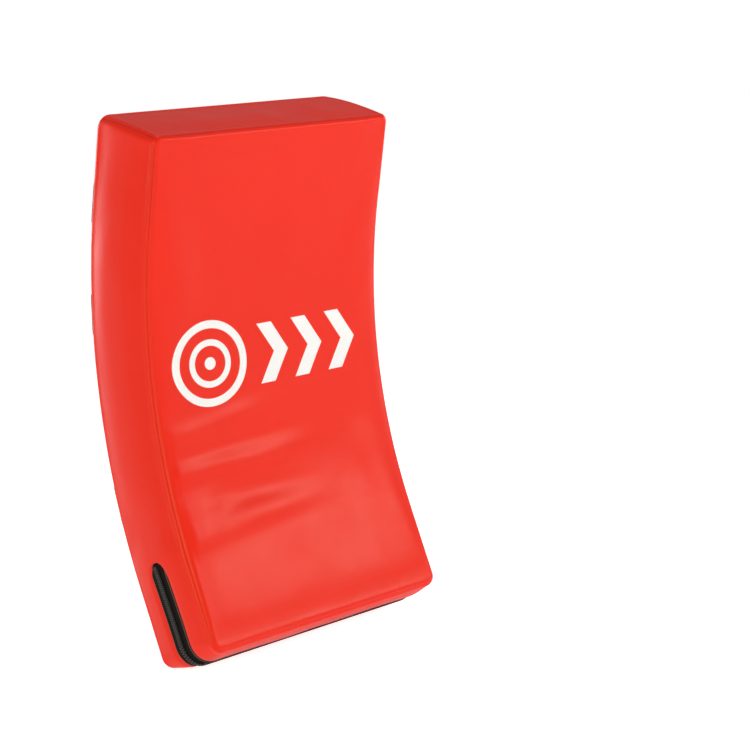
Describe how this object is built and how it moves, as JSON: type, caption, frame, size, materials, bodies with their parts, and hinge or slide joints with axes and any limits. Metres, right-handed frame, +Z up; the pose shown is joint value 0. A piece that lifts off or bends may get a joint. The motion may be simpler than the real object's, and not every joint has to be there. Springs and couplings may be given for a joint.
{
  "type": "curved kick shield",
  "caption": "Tall curved martial arts kick shield with a concave striking face, a zipped cover, forearm loops and a padded carry handle on its back.",
  "frame": {"origin": "centre of the bounding box's bottom, on the pad's own width middle, with the pad upright", "axes": "+Z up the pad to the handle end, -Y out of the concave striking face, +Y out of the strapped back, +X to the right seen from the front"},
  "size_m": [0.3819, 0.2032, 0.6504],
  "materials": {
    "cover_leather": "satin",
    "foam": "matte",
    "zip_tape": "matte",
    "zip_teeth": "satin",
    "zip_metal": "gloss",
    "webbing": "matte",
    "grip_cover": "matte",
    "thread": "matte"
  },
  "bodies": {
    "pad": {"front_panel": "cover_leather", "back_panel": "cover_leather", "top_gusset": "cover_leather", "left_gusset": "cover_leather", "right_gusset": "cover_leather", "bottom_front_gusset": "cover_leather", "bottom_rear_gusset": "cover_leather", "strike_foam": "foam", "core_foam": "foam", "back_foam": "foam", "zip_tape_front": "zip_tape", "zip_tape_rear": "zip_tape", "zip_coil_front": "zip_teeth", "zip_coil_rear": "zip_teeth", "zip_stops": "zip_metal", "mid_band": "webbing", "lower_band": "webbing", "handle_left_tab": "webbing", "handle_right_tab": "webbing", "left_strap_tail": "webbing", "right_strap_tail": "webbing", "handle_stitching": "thread", "strap_stitching": "thread"},
    "carry_handle": {"handle_strap": "webbing", "grip_core": "foam", "grip_sleeve": "grip_cover"},
    "left_arm_loop": {"left_arm_strap": "webbing"},
    "right_arm_loop": {"right_arm_strap": "webbing"},
    "slider": {"zip_slider": "zip_metal"},
    "pull_tab": {"zip_pull": "zip_metal"}
  },
  "joints": [
    {"name": "handle_lift", "type": "slide", "parent": "pad", "child": "carry_handle", "axis": [0, 0.9531, 0.3026], "range_m": [0, 0.02]},
    {"name": "left_loop_swing", "type": "hinge", "parent": "pad", "child": "left_arm_loop", "pos_m": [-0.108, 0.09134, 0.3976], "axis": [1, 0, 0], "range_deg": [0, 15]},
    {"name": "right_loop_swing", "type": "hinge", "parent": "pad", "child": "right_arm_loop", "pos_m": [0.108, 0.09134, 0.3976], "axis": [1, 0, 0], "range_deg": [0, 15]},
    {"name": "zip_run", "type": "slide", "parent": "pad", "child": "slider", "axis": [0, -0.304, -0.9527], "range_m": [0, 0.078]},
    {"name": "pull_swing", "type": "hinge", "parent": "slider", "child": "pull_tab", "pos_m": [0.1911, -0.01404, 0.11371], "axis": [0, -0.9527, 0.304], "range_deg": [0, 150]}
  ]
}
